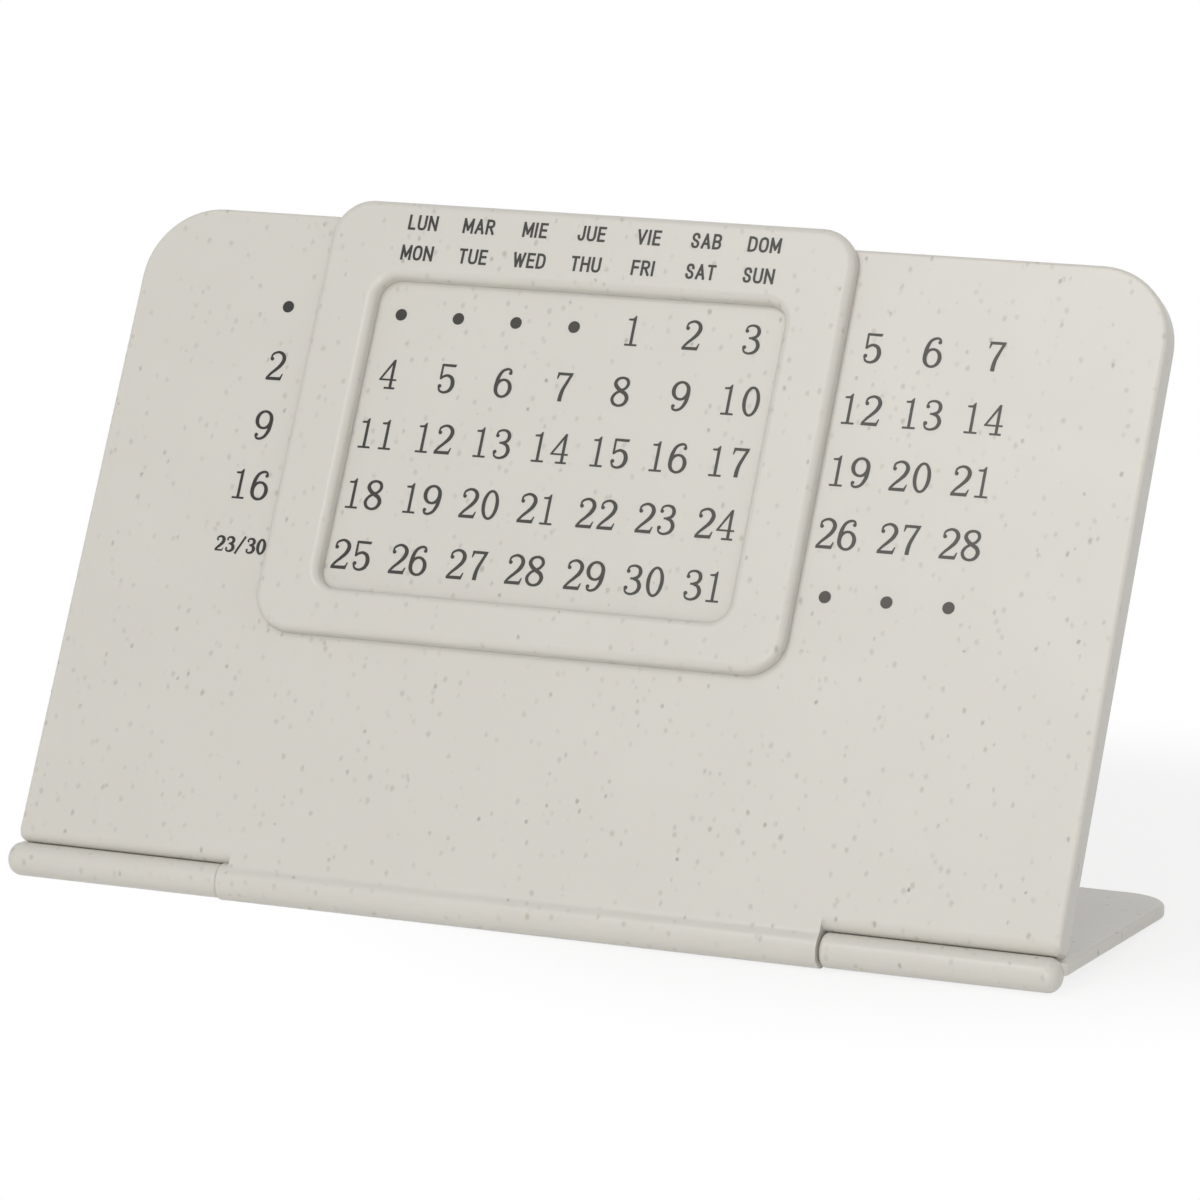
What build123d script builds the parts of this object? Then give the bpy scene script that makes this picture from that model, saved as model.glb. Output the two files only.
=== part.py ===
from build123d import *

import os
from math import asin, cos, pi, radians, sin, sqrt

# Perpetual desk calendar in three mouldings: a leaning date panel, a folding foot and a window slider.
# Millimetres, with X along the hinge, Y to the back and Z up. The origin is on the desk, under the
# middle of the whole calendar.

# Date panel: a thin front wall with a deeper rim round its back
panel_width = 150.0
panel_height = 94.8  # from the hinge axis to the top edge
panel_thickness = 4.0  # over the rim
panel_skin = 2.0  # front wall inside the rim
panel_rim = 2.0  # rim along the sides and the top
panel_sill = 4.0  # rim along the lower edge, above the hinge
panel_top_radius = 10.5
panel_edge_round = 0.6  # sides and top, front and back
panel_lower_front_round = 1.65  # lower edge, in front of the knuckles
panel_lower_back_round = 1.15
panel_lower_corner = 1.2  # lower corners, seen from the front
panel_recess_radius = 1.5  # lower corners of the hollow in the back
panel_lean = 28.4  # degrees back from upright

# Hinge: barrel and pins are moulded on the panel, knuckles on the foot
barrel_length = 86.4
barrel_bulge = 0.5  # barrel stands out from each face of the panel
barrel_fillet = 2.0  # hollow curve from the panel's face to the barrel
knuckle_step = 0.2  # knuckles clear the desk by this much
knuckle_inset = 0.5  # outer ends, from the sides of the foot
knuckle_inner_round = 0.7
knuckle_outer_round = 1.8
hinge_side_gap = 0.17  # between the barrel and each knuckle, on average
hinge_play = -0.1  # the barrel stands this far off the middle of its play
hinge_offset = 0.5  # the panel stands this far to the right of the hinge's middle
pin_radius = 1.1
pin_length = 3.0
pin_tip_round = 0.4
pin_clearance = 0.05
pin_end_clearance = 0.4
stop_gap = 0.08  # left between the panel's lower edge and the foot that stops it

# Foot: a plate behind the hinge, a little wider than the panel
foot_depth = 46.0  # from the hinge axis to the rear edge
foot_drop = 0.2  # underside below the hinge axis
foot_overhang = 1.25  # at each side
foot_thickness = 1.8
foot_rear_radius = 7.0
foot_front_radius = 2.0
foot_edge_round = 0.5
foot_notch_clearance = 1.0  # behind the barrel
foot_notch_radius = 1.0

# Window slider: a frame in front of the panel, hung on the panel's top edge
column_pitch = 8.6
row_pitch = 8.65
week_days = 7
week_rows = 5
window_row_margin = 0.7  # above the first row and below the last
window_radius = 3.0
window_edge_round = 1.1
slider_side_border = 8.5
slider_top_border = 11.0
slider_bottom_border = 6.5
slider_thickness = 2.0
slider_corner_radius = 5.5
slider_edge_round = 1.1
slider_gap = 0.1  # running gap all round the panel's top edge
slider_position = -7.75  # from the middle of the panel
hook_wall = 2.0
hook_inset = 8.7  # hook ends this far inside the frame's sides
hook_round = 1.0
lip_thickness = 1.5
lip_height = 8.0
lip_end_round = 0.5

# What follows from those sizes
panel_half = panel_thickness / 2
barrel_radius = panel_half + barrel_bulge
knuckle_radius = barrel_radius - knuckle_step
knuckle_gap = barrel_length + 2 * hinge_side_gap
foot_width = panel_width + 2 * foot_overhang
foot_notch_depth = barrel_radius + foot_notch_clearance
foot_top = foot_thickness - foot_drop  # above the hinge axis
tongue_width = barrel_length - 2 * abs(hinge_offset - hinge_play)  # keeps within the barrel's ends
axis_height = barrel_radius
lean = radians(panel_lean)

# The calendar stands on its barrel and on the foot's rear edge, which sets the foot's slope
foot_slope = asin((axis_height - foot_drop) / (foot_depth - foot_edge_round))
fold_angle = pi / 2 - lean + foot_slope

# The panel's rear lower edge meets the foot at the display angle and stops the panel there
stop_reach = foot_top + stop_gap + panel_lower_back_round
stop_setback = (panel_half - panel_lower_back_round) * cos(fold_angle)
panel_bottom = (stop_reach + stop_setback) / sin(fold_angle) - panel_lower_back_round

window_width = week_days * column_pitch
window_height = week_rows * row_pitch + 2 * window_row_margin
slider_width = window_width + 2 * slider_side_border
slider_height = slider_top_border + window_height + slider_bottom_border
slider_top = panel_height + slider_gap + hook_wall
slider_bottom = slider_top - slider_height
window_middle = slider_bottom + slider_bottom_border + window_height / 2
hook_width = slider_width - 2 * hook_inset
hook_back = panel_half + slider_gap + lip_thickness

# The origin is half-way between the barrel's front and whatever reaches furthest back
hook_reach = (slider_top - hook_round) * sin(lean) + (hook_back - hook_round) * cos(lean) + hook_round
foot_reach = foot_depth * cos(foot_slope)
axis_y = (barrel_radius - max(hook_reach, foot_reach)) / 2

# Planes through the hinge axis: local X along it, then up the panel or back along the foot
barrel_plane = Plane(
    origin=(hinge_play, axis_y, axis_height), x_dir=(1, 0, 0), z_dir=(0, -cos(lean), sin(lean))
)
panel_plane = Plane(
    origin=(hinge_offset, axis_y, axis_height), x_dir=(1, 0, 0), z_dir=(0, -cos(lean), sin(lean))
)
front = Axis(panel_plane.origin, panel_plane.z_dir)
panel_up = Axis(panel_plane.origin, panel_plane.y_dir)
foot_plane = Plane(
    origin=(0, axis_y, axis_height), x_dir=(1, 0, 0), z_dir=(0, sin(foot_slope), cos(foot_slope))
)


def cross_section(plane, distance):
    """The plane square to the hinge at a distance along it: local X up the panel, local Y out of its face."""
    origin = plane.origin + plane.x_dir * distance
    return Plane(origin=origin, x_dir=plane.y_dir, z_dir=plane.x_dir)


def round_bar(plane, start, end, radius, start_round, end_round, mode=Mode.ADD):
    """A bar round the hinge axis, with its two end edges rounded."""
    with BuildSketch(plane) as profile:
        with Locations(((start + end) / 2, radius / 2)):
            Rectangle(abs(end - start), radius)
        if start_round:
            fillet(profile.vertices().sort_by_distance((start, radius))[0], start_round)
        if end_round:
            fillet(profile.vertices().sort_by_distance((end, radius))[0], end_round)
    revolve(profile.sketch, axis=Axis(plane.origin, plane.x_dir), mode=mode)


# Date panel
with BuildPart() as date_panel:
    # Its section has a hollow that follows the knuckles in front, and is flat over the foot behind
    with BuildSketch(cross_section(panel_plane, -panel_width / 2)) as section:
        with Locations(((panel_bottom + panel_height) / 2, 0)):
            Rectangle(panel_height - panel_bottom, panel_thickness)
        with Locations((panel_height / 2, panel_half / 2)):
            Rectangle(panel_height, panel_half)
        Circle(panel_bottom, mode=Mode.SUBTRACT)
        lip_tip = (sqrt(panel_bottom**2 - panel_half**2), panel_half)
        fillet(section.vertices().sort_by_distance(lip_tip)[0], panel_lower_front_round)
        fillet(section.vertices().sort_by_distance((panel_bottom, -panel_half))[0], panel_lower_back_round)
    extrude(amount=panel_width)
    fillet(date_panel.edges().filter_by(front).group_by(panel_up)[-1], panel_top_radius)
    face_edges = date_panel.faces().filter_by(panel_plane).edges()
    fillet(face_edges.sort_by(panel_up)[2:], panel_edge_round)  # all but the two rounded lower ones

    # Lower corners cut round, down to the knuckles
    with BuildSketch(panel_plane.offset(-panel_half)):
        for side in (-1, 1):
            with Locations((side * panel_width / 2, knuckle_radius)):
                Rectangle(2 * panel_lower_corner, 2 * panel_lower_corner)
        with Locations((0, knuckle_radius + panel_lower_corner)):
            SlotOverall(panel_width, 2 * panel_lower_corner, mode=Mode.SUBTRACT)
    extrude(amount=panel_thickness, mode=Mode.SUBTRACT)

    # Tongue between the notches, flowing into the barrel
    tongue_top = panel_bottom + panel_sill / 2
    with BuildSketch(cross_section(panel_plane, -tongue_width / 2)) as tongue:
        Circle(barrel_radius)
        with Locations((tongue_top / 2, 0)):
            Rectangle(tongue_top, panel_thickness)
        creases = tongue.vertices().group_by(Axis.X)[-2]
        fillet(creases, barrel_fillet)
    extrude(amount=tongue_width)
    round_bar(barrel_plane, -barrel_length / 2, barrel_length / 2, barrel_radius, 0, 0)
    for side in (-1, 1):
        barrel_end = side * barrel_length / 2
        round_bar(barrel_plane, barrel_end, barrel_end + side * pin_length, pin_radius, 0, pin_tip_round)

    # Hollow back inside the rim
    recess_bottom = panel_bottom + panel_sill
    recess_top = panel_height - panel_rim
    with BuildSketch(panel_plane.offset(-panel_half)) as recess:
        with Locations((0, (recess_bottom + recess_top) / 2)):
            Rectangle(panel_width - 2 * panel_rim, recess_top - recess_bottom)
        fillet(recess.vertices().group_by(Axis.Y)[-1], panel_top_radius - panel_rim)
        fillet(recess.vertices().group_by(Axis.Y)[0], panel_recess_radius)
    extrude(amount=panel_thickness - panel_skin, mode=Mode.SUBTRACT)

# Foot
with BuildPart() as foot:
    with BuildSketch(foot_plane.offset(-foot_drop)) as plan:
        with Locations((0, foot_depth / 2)):
            Rectangle(foot_width, foot_depth)
        fillet(plan.vertices().group_by(Axis.Y)[-1], foot_rear_radius)
        fillet(plan.vertices().group_by(Axis.Y)[0], foot_front_radius)
        with Locations((0, foot_notch_depth / 2)):
            Rectangle(knuckle_gap, foot_notch_depth, mode=Mode.SUBTRACT)
        for side in (-1, 1):
            notch_corner = (side * knuckle_gap / 2, foot_notch_depth)
            fillet(plan.vertices().sort_by_distance(notch_corner)[0], foot_notch_radius)
    extrude(amount=foot_thickness)
    fillet(foot.faces().filter_by(foot_plane).edges(), foot_edge_round)

    # Knuckles with blind bores for the pins
    for side in (-1, 1):
        inner_end = side * knuckle_gap / 2
        outer_end = side * (foot_width / 2 - knuckle_inset)
        bore_end = inner_end + side * (pin_length + pin_end_clearance)
        round_bar(foot_plane, inner_end, outer_end, knuckle_radius, knuckle_inner_round, knuckle_outer_round)
        round_bar(foot_plane, inner_end, bore_end, pin_radius + pin_clearance, 0, 0, Mode.SUBTRACT)

# Window slider
with BuildPart() as window_slider:
    with BuildSketch(panel_plane.offset(panel_half + slider_gap)):
        with Locations((slider_position, (slider_bottom + slider_top) / 2)):
            RectangleRounded(slider_width, slider_height, slider_corner_radius)
        with Locations((slider_position, window_middle)):
            RectangleRounded(window_width, window_height, window_radius, mode=Mode.SUBTRACT)
    extrude(amount=slider_thickness)
    face = window_slider.faces().filter_by(panel_plane).sort_by(front)[-1]
    fillet(face.inner_wires().edges(), window_edge_round)
    face = window_slider.faces().filter_by(panel_plane).sort_by(front)[-1]
    fillet(face.outer_wire().edges(), slider_edge_round)

    # Hook over the panel's top edge, with a lip down its back
    hook_start = slider_position - hook_width / 2
    with BuildSketch(cross_section(panel_plane, hook_start)) as hook:
        with BuildLine():
            Polyline(
                (slider_top, panel_half + slider_gap + slider_thickness / 2),
                (slider_top, -hook_back),
                (slider_top - lip_height, -hook_back),
                (slider_top - lip_height, -panel_half - slider_gap),
                (panel_height + slider_gap, -panel_half - slider_gap),
                (panel_height + slider_gap, panel_half + slider_gap + slider_thickness / 2),
                close=True,
            )
        make_face()
        fillet(hook.vertices().sort_by_distance((slider_top, -hook_back))[0], hook_round)
        fillet(hook.vertices().group_by(Axis.X)[0], lip_end_round)
    extrude(amount=hook_width)

os.makedirs("parts", exist_ok=True)
for name, piece in (("date_panel", date_panel), ("foot", foot), ("window_slider", window_slider)):
    piece.part.label = name
    export_step(piece.part, f"parts/{name}.step")
    print(name, "volume", round(piece.part.volume), "mm3")
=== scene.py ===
# %% [markdown]
# # A perpetual desk calendar in straw-filled plastic
# The real calendar is three plastic mouldings: a leaning panel with a table of dates, a foot that is
# hinged to it, and a window frame that slides along the panel's top edge to set the weekday. The packed
# CAD model already holds their exact shapes and joints, so this lesson only dresses them: it mixes the
# plastic, prints the dates and the weekday names in ink, and sets up the studio. Everything is in metres,
# in the same frame as the CAD model.

from collections import Counter
from functools import partial
from math import cos, radians, sin

import bpy
import numpy as np
from mathutils import Matrix, Vector
from mathutils.geometry import delaunay_2d_cdt


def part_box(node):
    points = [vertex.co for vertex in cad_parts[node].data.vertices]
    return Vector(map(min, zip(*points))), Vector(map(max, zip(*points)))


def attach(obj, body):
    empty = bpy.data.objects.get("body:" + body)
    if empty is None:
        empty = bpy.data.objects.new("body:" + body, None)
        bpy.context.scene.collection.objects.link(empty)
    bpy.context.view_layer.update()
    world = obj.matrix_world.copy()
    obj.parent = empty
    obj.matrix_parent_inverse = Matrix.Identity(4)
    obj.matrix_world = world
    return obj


MM = 0.001

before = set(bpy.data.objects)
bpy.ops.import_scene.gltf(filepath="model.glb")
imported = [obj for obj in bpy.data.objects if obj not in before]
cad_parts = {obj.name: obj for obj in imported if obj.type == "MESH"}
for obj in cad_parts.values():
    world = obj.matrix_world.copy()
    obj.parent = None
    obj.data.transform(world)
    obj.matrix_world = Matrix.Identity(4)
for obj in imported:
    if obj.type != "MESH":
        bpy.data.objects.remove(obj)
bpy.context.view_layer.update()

# %% [markdown]
# ## Camera
# A long lens a good arm's length away keeps the panel's sides nearly parallel. It could be aimed by eye,
# but here the place, the aim and the focal length were worked out from the straight edges of the panel,
# so the render can be laid over the picture that it follows. The frame is square, and depth of field
# stays off.

# %% Camera
camera_data = bpy.data.cameras.new("camera")
camera_data.lens = 178.03
camera_data.sensor_width = 36.0
camera = bpy.data.objects.new("camera", camera_data)
camera.location = Vector((311.1, -712.1, 206.2)) * MM
camera.rotation_euler = (radians(77.952), 0, radians(23.474))
bpy.context.scene.collection.objects.link(camera)
bpy.context.scene.camera = camera
print("camera to object in mm:", round(camera.location.length / MM))

# %% [markdown]
# ## Colour and nodes
# Colours are written as sRGB hex values, as a colour picker shows them. The shaders work in linear light,
# so one function turns them. A second small function adds a shader node, sets it and links it, which
# keeps each material readable as a list of nodes.


# %% Colour and nodes
def linear(hex_colour):
    """The linear colour of an sRGB hex value such as "D3D0C9", with full alpha."""
    channels = [int(hex_colour[i:i + 2], 16) / 255 for i in (0, 2, 4)]
    return [c / 12.92 if c <= 0.04045 else ((c + 0.055) / 1.055) ** 2.4 for c in channels] + [1.0]


def add(tree, kind, inputs=None, **settings):
    """Adds a node. Each input takes a value, or the output that it is linked to."""
    node = tree.nodes.new(kind)
    for name, value in settings.items():
        setattr(node, name, value)
    for name, value in (inputs or {}).items():
        if isinstance(value, bpy.types.NodeSocket):
            tree.links.new(value, node.inputs[name])
        else:
            node.inputs[name].default_value = value
    return node


print("middle grey in linear light:", round(linear("808080")[0], 3))

# %% [markdown]
# ## Straw-filled polypropylene, injection moulded
# The plastic is polypropylene with ground wheat straw stirred in, moulded in a tool with a fine satin
# finish. The eye gets a warm off-white with a soft sheen, a faint cloudiness, and small straw flecks:
# many pale grey-brown crumbs, some tan and olive shards and a few dark husks. A painted picture could
# show them on one face only. Here each kind of fleck is a three-dimensional field of cells, so the flecks
# run through the edges as they do in the real material. Only some cells hold a fleck, and each cell has
# its own strength. Each moulding shifts the field, so no two carry the same flecks.

# %% Straw plastic
fleck_kinds = [
    # colour, spacing and radius in mm, stretch, turn in degrees, share of cells, strength
    ("98928A", 1.8, 0.45, 1.4, (20, 0, 35), 0.70, 0.40),
    ("7D776E", 2.4, 0.34, 1.8, (60, 40, 0), 0.70, 0.58),
    ("9C8E6C", 3.5, 0.42, 1.7, (0, 70, 50), 0.45, 0.50),
    ("7B7759", 4.8, 0.45, 1.5, (40, 20, 80), 0.65, 0.55),
    ("463F35", 5.0, 0.34, 1.3, (75, 10, 20), 0.60, 0.75),
]
fleck_core = 0.30  # part of a fleck's radius that has its full colour
faintest_fleck = 0.25  # part of its kind's strength
cloud_size = 15 * MM
tear_size = 0.5 * MM
tear_reach = 0.35 * MM
grain_size = 0.4 * MM  # coarser than the real grain, so that it shows
grain_depth = 0.01 * MM
light_reach = 1.5 * MM  # how far light wanders inside the plastic


def straw_plastic(name, shift_mm):
    """Satin moulded polypropylene with straw flecks, its pattern shifted by some millimetres."""
    material = bpy.data.materials.new(name)
    material.use_nodes = True
    tree = material.node_tree
    shader = tree.nodes["Principled BSDF"]
    where = add(tree, "ShaderNodeTexCoord").outputs["Object"]

    # Cloudy ground colour
    cloud = add(tree, "ShaderNodeTexNoise", {"Vector": where, "Scale": 1 / cloud_size, "Detail": 3.0})
    ground = add(tree, "ShaderNodeMix", {
        "Factor": cloud.outputs["Fac"], "A": linear("D4D1C9"), "B": linear("D0CCC4"),
    }, data_type="RGBA")
    colour = ground.outputs["Result"]

    # A wobble gives the flecks torn outlines
    wobble = add(tree, "ShaderNodeTexNoise", {"Vector": where, "Scale": 1 / tear_size, "Detail": 1.0})
    centred = add(tree, "ShaderNodeVectorMath", {
        0: wobble.outputs["Color"], 1: (0.5, 0.5, 0.5),
    }, operation="SUBTRACT")
    torn = add(tree, "ShaderNodeVectorMath", {
        0: centred.outputs["Vector"], 1: (tear_reach, tear_reach, tear_reach), 2: where,
    }, operation="MULTIPLY_ADD")

    for fleck, spacing, radius, stretch, turn, share, strength in fleck_kinds:
        placed = add(tree, "ShaderNodeMapping", {
            "Vector": torn.outputs["Vector"],
            "Location": [s * MM for s in shift_mm],
            "Rotation": [radians(angle) for angle in turn],
            "Scale": (1.0, 1.0, 1 / stretch),
        })
        cells = add(tree, "ShaderNodeTexVoronoi", {
            "Vector": placed.outputs["Vector"], "Scale": 1 / (spacing * MM), "Randomness": 1.0,
        }, voronoi_dimensions="3D", feature="F1")
        chance = add(tree, "ShaderNodeSeparateColor", {"Color": cells.outputs["Color"]})
        body = add(tree, "ShaderNodeMapRange", {
            "Value": cells.outputs["Distance"],
            "From Min": radius / spacing, "From Max": fleck_core * radius / spacing,
            "To Min": 0.0, "To Max": strength,
        })
        present = add(tree, "ShaderNodeMath", {0: chance.outputs["Red"], 1: share}, operation="LESS_THAN")
        tone = add(tree, "ShaderNodeMapRange", {
            "Value": chance.outputs["Green"], "To Min": faintest_fleck, "To Max": 1.0,
        })
        seen = add(tree, "ShaderNodeMath", {
            0: present.outputs["Value"], 1: tone.outputs["Result"],
        }, operation="MULTIPLY")
        amount = add(tree, "ShaderNodeMath", {
            0: body.outputs["Result"], 1: seen.outputs["Value"],
        }, operation="MULTIPLY")
        mixed = add(tree, "ShaderNodeMix", {
            "Factor": amount.outputs["Value"], "A": colour, "B": linear(fleck),
        }, data_type="RGBA")
        colour = mixed.outputs["Result"]

    # Satin sheen that varies a little, and the fine grain that the mould leaves
    sheen = add(tree, "ShaderNodeMapRange", {"Value": cloud.outputs["Fac"], "To Min": 0.26, "To Max": 0.32})
    grain = add(tree, "ShaderNodeTexNoise", {"Vector": where, "Scale": 1 / grain_size, "Detail": 2.0})
    relief = add(tree, "ShaderNodeBump", {
        "Height": grain.outputs["Fac"], "Strength": 0.12, "Distance": grain_depth,
    })
    tree.links.new(colour, shader.inputs["Base Color"])
    tree.links.new(sheen.outputs["Result"], shader.inputs["Roughness"])
    tree.links.new(relief.outputs["Normal"], shader.inputs["Normal"])
    shader.inputs["IOR"].default_value = 1.49
    shader.inputs["Subsurface Weight"].default_value = 0.25
    shader.inputs["Subsurface Radius"].default_value = (1.0, 0.78, 0.5)
    shader.inputs["Subsurface Scale"].default_value = light_reach
    return material


plastic_shift = {"date_panel": (0, 0, 0), "foot": (37, 11, 5), "window_slider": (-23, 41, 17)}
for node, shift in plastic_shift.items():
    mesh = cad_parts[node].data
    mesh.materials.clear()
    mesh.materials.append(straw_plastic("straw_polypropylene_" + node, shift))
    print(node, "faces:", len(mesh.polygons))

# %% [markdown]
# ## The printed faces
# The dates lie on the leaning front of the panel and the weekday names on the front of the slider. Both
# faces are found in the CAD model rather than typed in: the largest polygon that looks forward gives the
# direction, and the level that carries the most area is the face itself. Print is then placed from the
# middle of the face's top edge.

# %% The printed faces
panel_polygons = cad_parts["date_panel"].data.polygons
forward = max((p for p in panel_polygons if p.normal.y < 0), key=lambda p: p.area).normal.copy()
across = Vector((1, 0, 0))
upward = forward.cross(across)
parallel = 0.9999  # cosine above which a polygon looks the same way as the face


def printed_face(node):
    """Placement with X across the face, Y up it and Z out of it, from the middle of its top edge."""
    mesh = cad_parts[node].data
    area_at_level = Counter()
    for polygon in mesh.polygons:
        if polygon.normal.dot(forward) > parallel:
            area_at_level[round(polygon.center.dot(forward) / MM, 2)] += polygon.area
    level = max(area_at_level, key=area_at_level.get) * MM
    top = max(vertex.co.dot(upward) for vertex in mesh.vertices)
    low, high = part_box(node)
    corner = across * (low.x + high.x) / 2 + upward * top + forward * level
    axes = Matrix((across, upward, forward)).transposed().to_4x4()
    return Matrix.Translation(corner) @ axes


panel_face = printed_face("date_panel")
slider_face = printed_face("window_slider")
print("panel face from", [round(c / MM, 2) for c in panel_face.translation])
print("slider face from", [round(c / MM, 2) for c in slider_face.translation])

# %% [markdown]
# ## Pen strokes
# The print is a film of ink, so each mark is a flat shape. Letters could come from a font, but these are
# drawn as strokes of a pen, as a sign writer would: a few knots with the pen's width at each, a smooth
# line through them, and round balls or plain areas where a stroke ends. A stroke becomes a strip of
# four-cornered patches.

# %% Pen strokes
curve_steps = 7
dot_corners = 24
oval_knots = 12


def stroke(*knots, closed=False, weight=1.0):
    """A smooth pen line through knots of (x, y, width), as a strip of patches. Weight broadens the pen."""
    knots = np.array(knots, float) * (1, 1, weight)
    if closed:
        chain = np.vstack([knots[-1], knots, knots[:2]])
    else:
        chain = np.vstack([2 * knots[0] - knots[1], knots, 2 * knots[-1] - knots[-2]])
    steps = curve_steps if len(knots) > 2 else 1
    line = []
    for a, b, c, d in zip(chain, chain[1:], chain[2:], chain[3:]):
        for t in np.arange(steps) / steps:
            # A cubic from b to c, whose slopes come from the knots beside them
            bend = t * t * (a - 2.5 * b + 2 * c - 0.5 * d) + t**3 * (1.5 * (b - c) + 0.5 * (d - a))
            line.append(b + 0.5 * t * (c - a) + bend)
    line.append(chain[-2])
    line = np.array(line)
    centre, width = line[:, :2], line[:, 2:]
    heading = np.gradient(centre, axis=0)
    if closed:
        heading[0] = heading[-1] = centre[1] - centre[-2]
    heading /= np.linalg.norm(heading, axis=1, keepdims=True)
    side = np.column_stack([-heading[:, 1], heading[:, 0]]) * width / 2
    left, right = centre + side, centre - side
    return [[right[i], right[i + 1], left[i + 1], left[i]] for i in range(len(line) - 1)]


def ball(x, y, radius):
    """The round end of a stroke, or a dot."""
    turns = np.linspace(0, 2 * np.pi, dot_corners, endpoint=False)
    return [np.column_stack([x + radius * np.cos(turns), y + radius * np.sin(turns)])]


def bowl(x, y, half_width, half_height, side, top, weight=1.0):
    """A closed oval stroke, with its pen width at the sides and at the top."""
    turns = np.linspace(0, 2 * np.pi, oval_knots, endpoint=False)
    width = top + (side - top) * np.cos(turns) ** 2
    knots = zip(x + half_width * np.cos(turns), y + half_height * np.sin(turns), width)
    return stroke(*knots, closed=True, weight=weight)


def area(*corners):
    """A plain area between corners."""
    return [np.array(corners, float)]


print("patches in an oval:", len(bowl(0, 0, 1, 2, 0.4, 0.3)))

# %% [markdown]
# ## Numerals
# The dates are set in light book numerals of about 4.3 mm, with thin serifs, thick uprights and ball
# ends. Each numeral is drawn in millimetres round its own middle, on a baseline at zero. The small
# figures in the last row could be the large ones scaled down, but their lines would be too thin, so one
# function draws all the numerals with any weight of pen.

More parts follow.
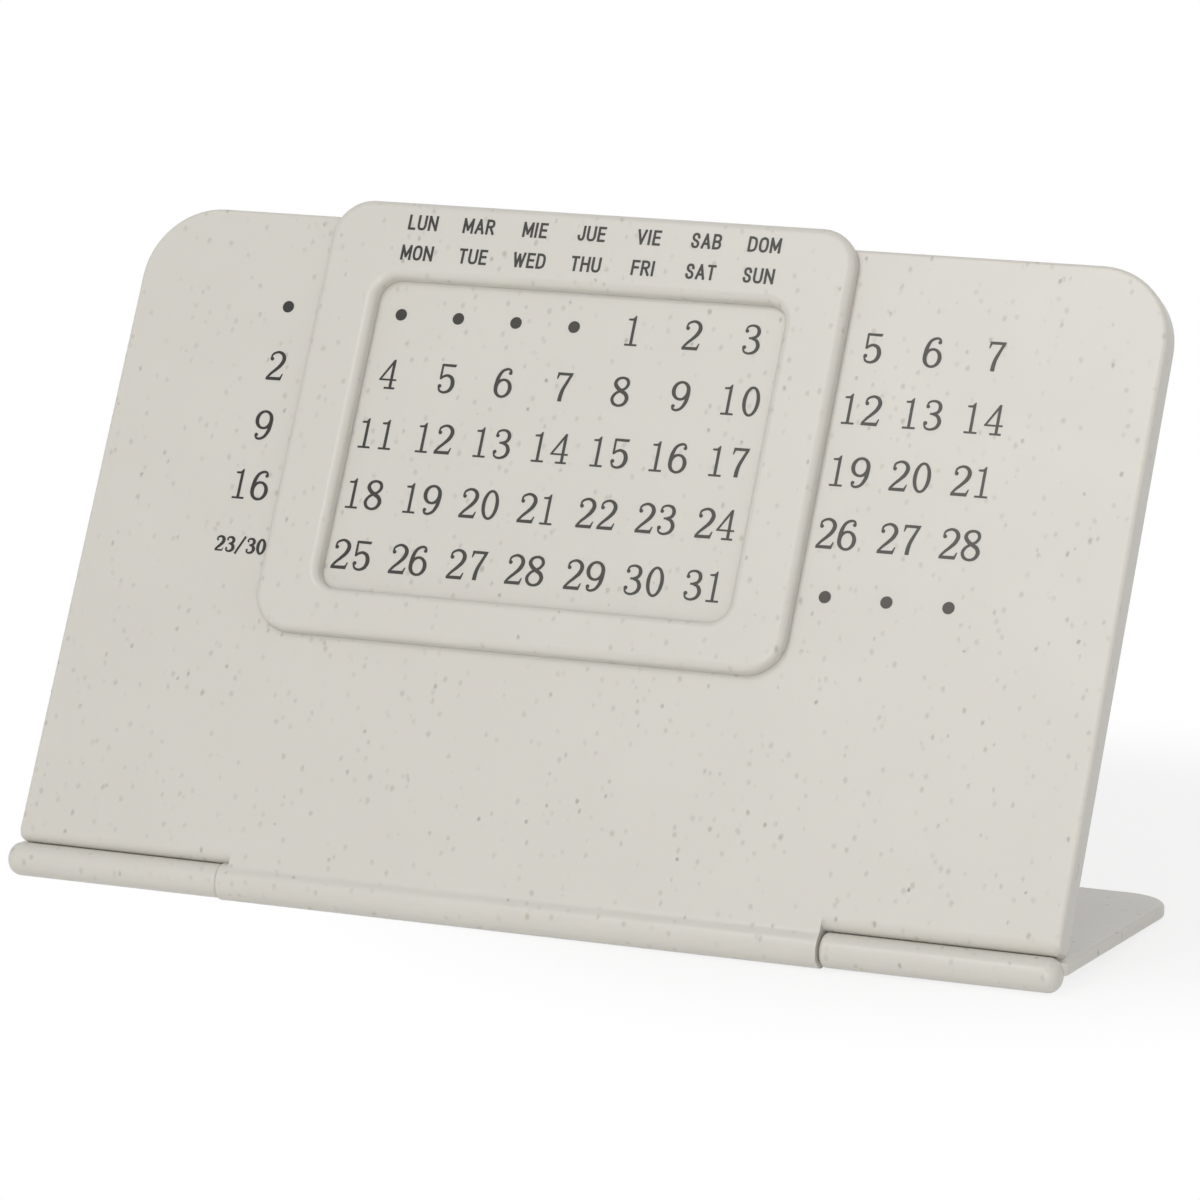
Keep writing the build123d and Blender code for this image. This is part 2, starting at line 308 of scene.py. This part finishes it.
# %% Numerals
def book_numerals(weight):
    """Every numeral as patches, with the pen made broader or finer by a weight."""
    line = partial(stroke, weight=weight)
    oval = partial(bowl, weight=weight)
    return {
        "0": oval(0.15, 2.22, 0.97, 1.95, 0.44, 0.30),
        "1": area((-0.16, 0.12), (0.26, 0.12), (0.26, 4.40), (0.10, 4.40), (-0.16, 4.08))
        + line((0.05, 0.12, 0.35), (0.05, 4.08, 0.35))
        + line((-0.85, 3.84, 0.20), (-0.45, 3.84, 0.26), (0.10, 3.90, 0.30))
        + line((-0.85, 0.24, 0.24), (0.95, 0.24, 0.24)),
        "2": ball(-0.72, 3.18, 0.27)
        + line((-0.89, 3.18, 0.20), (-0.72, 3.85, 0.26), (0.05, 4.20, 0.30), (0.78, 3.92, 0.40),
               (1.08, 3.25, 0.48), (0.82, 2.45, 0.46), (0.20, 1.72, 0.38), (-0.45, 1.08, 0.32),
               (-0.98, 0.42, 0.28))
        + area((-1.12, 0.12), (1.12, 0.12), (1.36, 1.10), (1.20, 1.10), (0.95, 0.60), (-0.80, 0.55),
               (-1.12, 0.50)),
        "3": ball(-0.80, 3.38, 0.26)
        + line((-0.96, 3.38, 0.20), (-0.72, 3.98, 0.24), (-0.02, 4.20, 0.28), (0.66, 3.95, 0.37),
               (0.92, 3.30, 0.44), (0.66, 2.68, 0.37), (-0.02, 2.40, 0.26))
        + line((-0.38, 2.40, 0.24), (0.15, 2.40, 0.24))
        + line((-0.02, 2.40, 0.26), (0.75, 2.10, 0.38), (1.10, 1.35, 0.46), (0.80, 0.58, 0.38),
               (0.00, 0.24, 0.28), (-0.72, 0.45, 0.24), (-0.98, 1.08, 0.20))
        + ball(-0.80, 1.08, 0.28),
        "4": area((0.34, 0.12), (0.76, 0.12), (0.76, 4.35), (0.46, 4.35), (0.34, 4.10))
        + area((-1.30, 1.42), (-0.96, 1.42), (0.50, 3.80), (0.50, 4.35), (0.46, 4.35))
        + area((-1.30, 1.30), (1.30, 1.30), (1.30, 1.56), (-1.22, 1.56))
        + line((0.55, 0.12, 0.35), (0.55, 4.10, 0.35))
        + line((-1.13, 1.42, 0.20), (0.48, 4.07, 0.20))
        + line((-1.25, 1.43, 0.21), (1.30, 1.43, 0.21))
        + line((-0.35, 0.24, 0.24), (1.25, 0.24, 0.24)),
        "5": area((-0.91, 4.30), (-0.91, 3.95), (1.12, 3.90), (1.26, 4.30))
        + line((-0.78, 4.20, 0.26), (-0.78, 2.16, 0.26))
        + ball(-0.78, 2.16, 0.13)
        + line((-0.78, 2.15, 0.24), (-0.35, 2.52, 0.30), (0.22, 2.66, 0.34), (0.86, 2.30, 0.44),
               (1.12, 1.45, 0.50), (0.84, 0.62, 0.42), (0.12, 0.24, 0.30), (-0.60, 0.42, 0.26),
               (-0.91, 1.10, 0.20))
        + ball(-0.73, 1.10, 0.28),
        "6": ball(0.74, 3.66, 0.26)
        + line((0.90, 3.66, 0.20), (0.68, 4.10, 0.26), (0.18, 4.20, 0.30), (-0.50, 3.82, 0.36),
               (-0.90, 2.95, 0.44), (-1.03, 2.00, 0.47), (-1.04, 1.45, 0.47))
        + oval(0.00, 1.45, 1.04, 1.21, 0.47, 0.30),
        "7": area((-0.92, 4.32), (-0.98, 3.35), (-0.84, 3.35), (-0.62, 3.92), (1.19, 3.92), (1.36, 4.32))
        + line((1.10, 4.12, 0.33), (0.62, 3.00, 0.36), (0.20, 1.95, 0.42), (0.02, 1.05, 0.47),
               (-0.02, 0.20, 0.49)),
        "8": line((0.02, 4.20, 0.30), (-0.68, 3.95, 0.36), (-0.92, 3.32, 0.44), (-0.50, 2.72, 0.46),
                  (0.10, 2.32, 0.46), (0.78, 1.90, 0.46), (1.06, 1.22, 0.46), (0.72, 0.50, 0.38),
                  (0.00, 0.24, 0.30), (-0.72, 0.50, 0.36), (-1.04, 1.18, 0.38), (-0.70, 1.90, 0.34),
                  (0.02, 2.40, 0.30), (0.62, 2.76, 0.34), (0.92, 3.38, 0.38), (0.68, 3.98, 0.36),
                  closed=True),
        "9": ball(-0.70, 0.78, 0.26)
        + line((-0.86, 0.78, 0.20), (-0.64, 0.34, 0.26), (-0.08, 0.24, 0.30), (0.56, 0.62, 0.36),
               (1.00, 1.50, 0.44), (1.12, 2.45, 0.47), (1.12, 2.99, 0.47))
        + oval(0.06, 2.99, 1.06, 1.21, 0.47, 0.30),
        "/": line((-1.15, -0.30, 0.30), (1.20, 4.70, 0.30)),
    }


numeral_advance = 3.07  # from one numeral to the next, in mm
numeral_middle = 2.2  # half-way up a numeral, in mm
date_numerals = book_numerals(weight=1.2)
print("numerals drawn:", len(date_numerals))

# %% [markdown]
# ## Capitals
# The weekday names are small, plain capitals with one pen width. Each letter is a list of lines in a box
# from 0 to 1 both ways, which is stretched to the letter's own width. Lines of two points are straight,
# and longer ones bend. In this way one pen serves them all, and a letter is made wider without being
# drawn again.

# %% Capitals
capital_height = 2.2  # this and the next two in mm
capital_pen = 0.35
letter_gap = 0.26
stem = [(0, 0), (0, 1)]
far_stem = [(1, 0), (1, 1)]
top_bar = [(0, 1), (1, 1)]
middle_bar = [(0, 0.52), (0.9, 0.52)]
low_bar = [(0, 0), (1, 0)]
upper_bowl = [(0, 1), (0.5, 1), (0.85, 0.94), (0.97, 0.76), (0.85, 0.57), (0.5, 0.51), (0, 0.51)]
lower_bowl = [(0, 0.51), (0.5, 0.51), (0.87, 0.44), (1, 0.25), (0.87, 0.06), (0.5, 0), (0, 0)]
full_bowl = [(0, 1), (0.45, 1), (0.85, 0.9), (1, 0.66), (1, 0.34), (0.85, 0.1), (0.45, 0), (0, 0)]
crook = [(1, 1), (1, 0.6), (1, 0.26), (0.84, 0.05), (0.48, 0), (0.12, 0.07), (0, 0.27)]
cup = [(0, 1), (0, 0.6), (0, 0.28), (0.15, 0.06), (0.5, 0), (0.85, 0.06), (1, 0.28), (1, 0.6), (1, 1)]
ring = [(0.5, 1), (0.14, 0.91), (0, 0.66), (0, 0.34), (0.14, 0.09), (0.5, 0), (0.86, 0.09), (1, 0.34),
        (1, 0.66), (0.86, 0.91), (0.5, 1)]
snake = [(0.97, 0.76), (0.82, 0.95), (0.5, 1), (0.16, 0.94), (0.04, 0.76), (0.2, 0.58), (0.5, 0.5),
         (0.82, 0.41), (0.98, 0.23), (0.84, 0.05), (0.5, 0), (0.16, 0.05), (0, 0.24)]
capitals = {
    # letter: width in mm, then its lines
    "A": (1.36, [[(0, 0), (0.5, 1)], [(0.5, 1), (1, 0)], [(0.2, 0.3), (0.8, 0.3)]]),
    "B": (1.26, [stem, upper_bowl, lower_bowl]),
    "D": (1.32, [stem, full_bowl]),
    "E": (1.15, [stem, top_bar, middle_bar, low_bar]),
    "F": (1.14, [stem, top_bar, middle_bar]),
    "H": (1.34, [stem, far_stem, [(0, 0.52), (1, 0.52)]]),
    "I": (0.42, [stem]),
    "J": (1.06, [crook]),
    "L": (1.12, [stem, low_bar]),
    "M": (1.54, [stem, far_stem, [(0, 1), (0.5, 0.2)], [(0.5, 0.2), (1, 1)]]),
    "N": (1.38, [stem, far_stem, [(0, 1), (1, 0)]]),
    "O": (1.35, [ring]),
    "R": (1.28, [stem, upper_bowl, [(0.5, 0.5), (1, 0)]]),
    "S": (1.20, [snake]),
    "T": (1.20, [top_bar, [(0.5, 0), (0.5, 1)]]),
    "U": (1.34, [cup]),
    "V": (1.38, [[(0, 1), (0.5, 0)], [(0.5, 0), (1, 1)]]),
    "W": (1.82, [[(0, 1), (0.26, 0)], [(0.26, 0), (0.5, 0.9)], [(0.5, 0.9), (0.74, 0)],
                 [(0.74, 0), (1, 1)]]),
}


def capital(letter):
    """A capital's patches, from its left side and its baseline."""
    width, lines = capitals[letter]
    half_pen = capital_pen / 2
    inner_width = width - capital_pen
    inner_height = capital_height - capital_pen
    patches = []
    for line in lines:
        knots = [(half_pen + x * inner_width, half_pen + y * inner_height, capital_pen) for x, y in line]
        patches += stroke(*knots)
        for x, y, _ in (knots[0], knots[-1]):
            patches += area((x - half_pen, y - half_pen), (x + half_pen, y - half_pen),
                            (x + half_pen, y + half_pen), (x - half_pen, y + half_pen))
    return patches


print("capitals drawn:", len(capitals))

# %% [markdown]
# ## From strokes to a film of ink
# Where strokes cross, their patches overlap. A two-dimensional triangulation cuts them at the crossings,
# and only the triangles that lie in some patch are kept, so each mark covers its face once. The film then
# gets real thickness: it stands 0.02 mm proud of the plastic and is sunk a hair into it, as a closed
# shape with walls.

# %% From strokes to a film of ink
film_height = 0.02  # all three in mm
film_sink = 0.01
weld_distance = 1e-4


def flat_shape(patches):
    """The points and triangles of the area that the patches cover together."""
    points, faces = [], []
    for patch in patches:
        x, y = np.array(patch).T
        turn = np.dot(x, np.roll(y, -1)) - np.dot(y, np.roll(x, -1))
        corners = patch if turn > 0 else patch[::-1]
        faces.append(list(range(len(points), len(points) + len(corners))))
        points += [Vector((float(px), float(py))) for px, py in corners]
    points, _, triangles, _, _, sources = delaunay_2d_cdt(points, [], faces, 1, weld_distance)
    return points, [t for t, source in zip(triangles, sources) if source]


def ink_film(name, node_face, body, marks, material):
    """A printed piece on a face, from marks of (flat shape, x, y), in mm from the middle of its top edge."""
    vertices, faces = [], []
    for (points, triangles), x, y in marks:
        first, count = len(vertices), len(points)
        for level in (film_height, -film_sink):
            vertices += [node_face @ (Vector((p.x + x, p.y + y, level)) * MM) for p in points]
        border = Counter()
        for t in triangles:
            faces.append([first + i for i in t])
            faces.append([first + count + i for i in reversed(t)])
            for a, b in zip(t, t[1:] + t[:1]):
                border[(a, b)] += 1
        for a, b in border:
            if (b, a) not in border:
                faces.append([first + b, first + a, first + count + a, first + count + b])
    mesh = bpy.data.meshes.new(name)
    mesh.from_pydata(vertices, [], faces)
    mesh.validate()
    mesh.materials.append(material)
    piece = bpy.data.objects.new(name, mesh)
    bpy.context.scene.collection.objects.link(piece)
    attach(piece, body)
    print(name, "marks:", len(marks), "faces:", len(mesh.polygons))


# %% [markdown]
# ## Pad-printed ink
# The marks are pad printed: a soft pad lifts a thin film of warm dark-grey ink from a plate and presses
# it on the plastic. The film is satin and a little uneven. Its colour grows paler towards the right, where
# the print looks greyer: partly because the film is thinner there, and partly as a painted sheen that
# stands in for the light's reflection on the right of the print. A mix along the face gives that, with a
# fine mottle of about 0.6 mm for the pad's uneven touch.

# %% Pad-printed ink
# How far and how much the ink pales to the right: part thinner film, part painted sheen
paling_reach = 55 * MM  # to each side of the middle
most_paling = 0.85
mottle_size = 0.6 * MM
mottle_share = 0.15
mottle_depth = 0.01 * MM
ink = bpy.data.materials.new("pad_printed_ink")
ink.use_nodes = True
tree = ink.node_tree
shader = tree.nodes["Principled BSDF"]
where = add(tree, "ShaderNodeTexCoord").outputs["Object"]
place = add(tree, "ShaderNodeSeparateXYZ", {"Vector": where})
# Paler towards the right: thinner ink, and a painted sheen for the light's reflection there
paling_to_right = add(tree, "ShaderNodeMapRange", {
    "Value": place.outputs["X"], "From Min": -paling_reach, "From Max": paling_reach,
    "To Min": 0.0, "To Max": most_paling,
})
mottle = add(tree, "ShaderNodeTexNoise", {"Vector": where, "Scale": 1 / mottle_size, "Detail": 2.0})
uneven_and_paling = add(tree, "ShaderNodeMath", {
    0: mottle.outputs["Fac"], 1: mottle_share, 2: paling_to_right.outputs["Result"],
}, operation="MULTIPLY_ADD")
film_colour = add(tree, "ShaderNodeMix", {
    "Factor": uneven_and_paling.outputs["Value"], "A": linear("1B1916"), "B": linear("575550"),
}, data_type="RGBA")
gloss = add(tree, "ShaderNodeMapRange", {"Value": mottle.outputs["Fac"], "To Min": 0.45, "To Max": 0.60})
dimple = add(tree, "ShaderNodeBump", {
    "Height": mottle.outputs["Fac"], "Strength": 0.15, "Distance": mottle_depth,
})
tree.links.new(film_colour.outputs["Result"], shader.inputs["Base Color"])
tree.links.new(gloss.outputs["Result"], shader.inputs["Roughness"])
tree.links.new(dimple.outputs["Normal"], shader.inputs["Normal"])
shader.inputs["IOR"].default_value = 1.42
print("ink nodes:", len(tree.nodes))

# %% [markdown]
# ## The table of dates
# Thirteen columns and five rows hold every month: as the window slides, it shows seven columns, so any
# weekday can be the first. A cell whose date would be less than 1 or more than 31 gets a dot. In the two
# leftmost columns of the last row two dates share a cell in small figures, with a heavier pen so that
# they stay readable. The cells could be typed out one by one, but a loop follows the calendar's own rule,
# so no date goes astray.

# %% The table of dates
column_pitch = 8.617  # steps and places in mm, the places from the middle of the panel's top edge
row_pitch = 8.658
middle_column = 0.25
first_row = -13.74
columns_each_side = 6
row_count = 5
days_in_week = 7
last_date = 31
dot_radius = 0.85
dot = flat_shape(ball(0, 0, dot_radius))
numeral_shapes = {figure: flat_shape(patches) for figure, patches in date_numerals.items()}
small_scale = 0.51
small_weight = 2.1
small_columns = (-6, -5)
small_shift = 0.45  # of the small figures, in mm to the right
print("dot triangles:", len(dot[1]))


def number_marks(text, x, y, shapes, scale=1.0):
    """The marks of a number that is centred on a point."""
    advance = numeral_advance * scale
    left = x - advance * (len(text) - 1) / 2
    baseline = y - numeral_middle * scale
    return [(shapes[figure], left + i * advance, baseline) for i, figure in enumerate(text)]


small_shapes = {
    figure: flat_shape([np.array(patch) * small_scale for patch in patches])
    for figure, patches in book_numerals(small_weight).items()
}
date_marks = []
for row in range(row_count):
    y = first_row - row * row_pitch
    for column in range(-columns_each_side, columns_each_side + 1):
        x = middle_column + column * column_pitch
        date = column + 1 + days_in_week * row
        if row == row_count - 1 and column in small_columns:
            text = f"{date}/{date + days_in_week}"
            date_marks += number_marks(text, x + small_shift, y, small_shapes, small_scale)
        elif 1 <= date <= last_date:
            date_marks += number_marks(str(date), x, y, numeral_shapes)
        else:
            date_marks.append((dot, x, y))
ink_film("date_print", panel_face, "panel", date_marks, ink)

# %% [markdown]
# ## The weekday names
# Two rows of short names, one for each of two languages, stand over the window's seven columns on the
# slider. Each name could be a text object of its own. Here all the letters make one film that rides on
# the slider, so the names keep their places over the columns as it moves.

# %% The weekday names
name_rows = {
    # height of the row's middle over the slider's top edge in mm: names
    -3.1: ["LUN", "MAR", "MIE", "JUE", "VIE", "SAB", "DOM"],
    -7.5: ["MON", "TUE", "WED", "THU", "FRI", "SAT", "SUN"],
}
name_pitch = 8.4  # in mm
name_shift = 0.2  # to the right, in mm
middle_day = 3
letter_shapes = {letter: flat_shape(capital(letter)) for letter in capitals}
name_marks = []
for y, names in name_rows.items():
    for day, name in enumerate(names):
        widths = [capitals[letter][0] for letter in name]
        name_width = sum(widths) + letter_gap * (len(name) - 1)
        x = name_shift + name_pitch * (day - middle_day) - name_width / 2
        for letter, width in zip(name, widths):
            name_marks.append((letter_shapes[letter], x, y - capital_height / 2))
            x += width + letter_gap
ink_film("weekday_print", slider_face, "slider", name_marks, ink)

# %% [markdown]
# ## Floor of white paper
# The object stands on a plain sheet of white paper. To the camera, and in reflections, the paper is
# lifted to white, but it keeps the object's shadow, and further out it fades into the white surround.
# Diffuse rays see the plain paper, so it throws no more light on the object than paper would. A brighter
# lamp could whiten the floor too, but it would bleach the object.


# %% Floor of white paper
def shown_rays(tree):
    """One for rays that show the backdrop: to the camera, in a reflection or through a clear thing."""
    rays = add(tree, "ShaderNodeLightPath")
    glossy_too = add(tree, "ShaderNodeMath", {
        0: rays.outputs["Is Camera Ray"], 1: rays.outputs["Is Glossy Ray"],
    }, operation="MAXIMUM")
    shown = add(tree, "ShaderNodeMath", {
        0: glossy_too.outputs["Value"], 1: rays.outputs["Is Transmission Ray"],
    }, operation="MAXIMUM")
    return shown.outputs["Value"]


floor_radius = 2.5
floor_corners = 96
floor_drop = 0.02 * MM  # just under the object
floor_lift = 0.80  # part of the paper that is shown as plain white
shadow_middle = (0.04, 0.035, 0.0)
fade_start = 0.05
fade_end = 0.10
floor_mesh = bpy.data.meshes.new("floor")
turns = np.linspace(0, 2 * np.pi, floor_corners, endpoint=False)
rim = [(floor_radius * np.cos(a), floor_radius * np.sin(a), 0) for a in turns]
floor_mesh.from_pydata(rim, [], [list(range(len(rim)))])
floor = bpy.data.objects.new("floor", floor_mesh)
floor.location.z = -floor_drop
bpy.context.scene.collection.objects.link(floor)

paper = bpy.data.materials.new("white_paper_floor")
paper.use_nodes = True
tree = paper.node_tree
tree.nodes.clear()
matt = add(tree, "ShaderNodeBsdfDiffuse", {"Color": linear("F4F4F3")})
white = add(tree, "ShaderNodeEmission", {"Color": linear("FFFFFF"), "Strength": 1.0})
lifted = add(tree, "ShaderNodeMixShader", {
    0: floor_lift, 1: matt.outputs["BSDF"], 2: white.outputs["Emission"],
})
spot = add(tree, "ShaderNodeTexCoord").outputs["Object"]
reach = add(tree, "ShaderNodeVectorMath", {0: spot, 1: shadow_middle}, operation="DISTANCE")
fade = add(tree, "ShaderNodeMapRange", {
    "Value": reach.outputs["Value"], "From Min": fade_start, "From Max": fade_end,
}, interpolation_type="SMOOTHSTEP")
near = add(tree, "ShaderNodeMixShader", {
    0: fade.outputs["Result"], 1: lifted.outputs["Shader"], 2: white.outputs["Emission"],
})
both = add(tree, "ShaderNodeMixShader", {
    0: shown_rays(tree), 1: matt.outputs["BSDF"], 2: near.outputs["Shader"],
})
add(tree, "ShaderNodeOutputMaterial", {"Surface": both.outputs["Shader"]})
floor_mesh.materials.append(paper)
print("floor across in m:", 2 * floor_radius)

# %% [markdown]
# ## Surround and soft boxes
# The light is very soft: an even surround, one large soft box in front and above, a second one low on the
# right, and a small one high on the left that gives the upper right of the panel its faint sheen. A
# single hard lamp could light the object too, but its shadows would be dark and sharp. Where the surround
# is shown it is pure white, but it lights the object at about half that strength, so the shaded sides
# keep their tone.

# %% Surround and soft boxes
surround_light = 0.51
world = bpy.data.worlds.new("studio")
world.use_nodes = True
bpy.context.scene.world = world
tree = world.node_tree
tree.nodes.clear()
strength = add(tree, "ShaderNodeMix", {"Factor": shown_rays(tree), "A": surround_light, "B": 1.0})
surround = add(tree, "ShaderNodeBackground", {
    "Color": linear("FFFFFF"), "Strength": strength.outputs["Result"],
})
add(tree, "ShaderNodeOutputWorld", {"Surface": surround.outputs["Background"]})

softboxes = {
    # name: turn to the left and height in degrees, distance and width in m, power in W
    "front_softbox": (6, 33, 1.4, 0.8, 2.3),
    "low_softbox": (-20, 10, 1.4, 0.8, 5.7),
    "sheen_softbox": (21, 51, 1.4, 0.35, 1.9),
}
for name, (turn, height, distance, width, power) in softboxes.items():
    lamp = bpy.data.lights.new(name, "AREA")
    lamp.shape = "DISK"
    lamp.size = width
    lamp.energy = power
    softbox = bpy.data.objects.new(name, lamp)
    flat_distance = distance * cos(radians(height))
    softbox.location = (
        -flat_distance * sin(radians(turn)),
        -flat_distance * cos(radians(turn)),
        distance * sin(radians(height)),
    )
    softbox.rotation_euler = (-softbox.location).to_track_quat("-Z", "Y").to_euler()
    bpy.context.scene.collection.objects.link(softbox)
    print(name, "at", [round(c, 2) for c in softbox.location])
bpy.context.scene.view_settings.view_transform = "Standard"
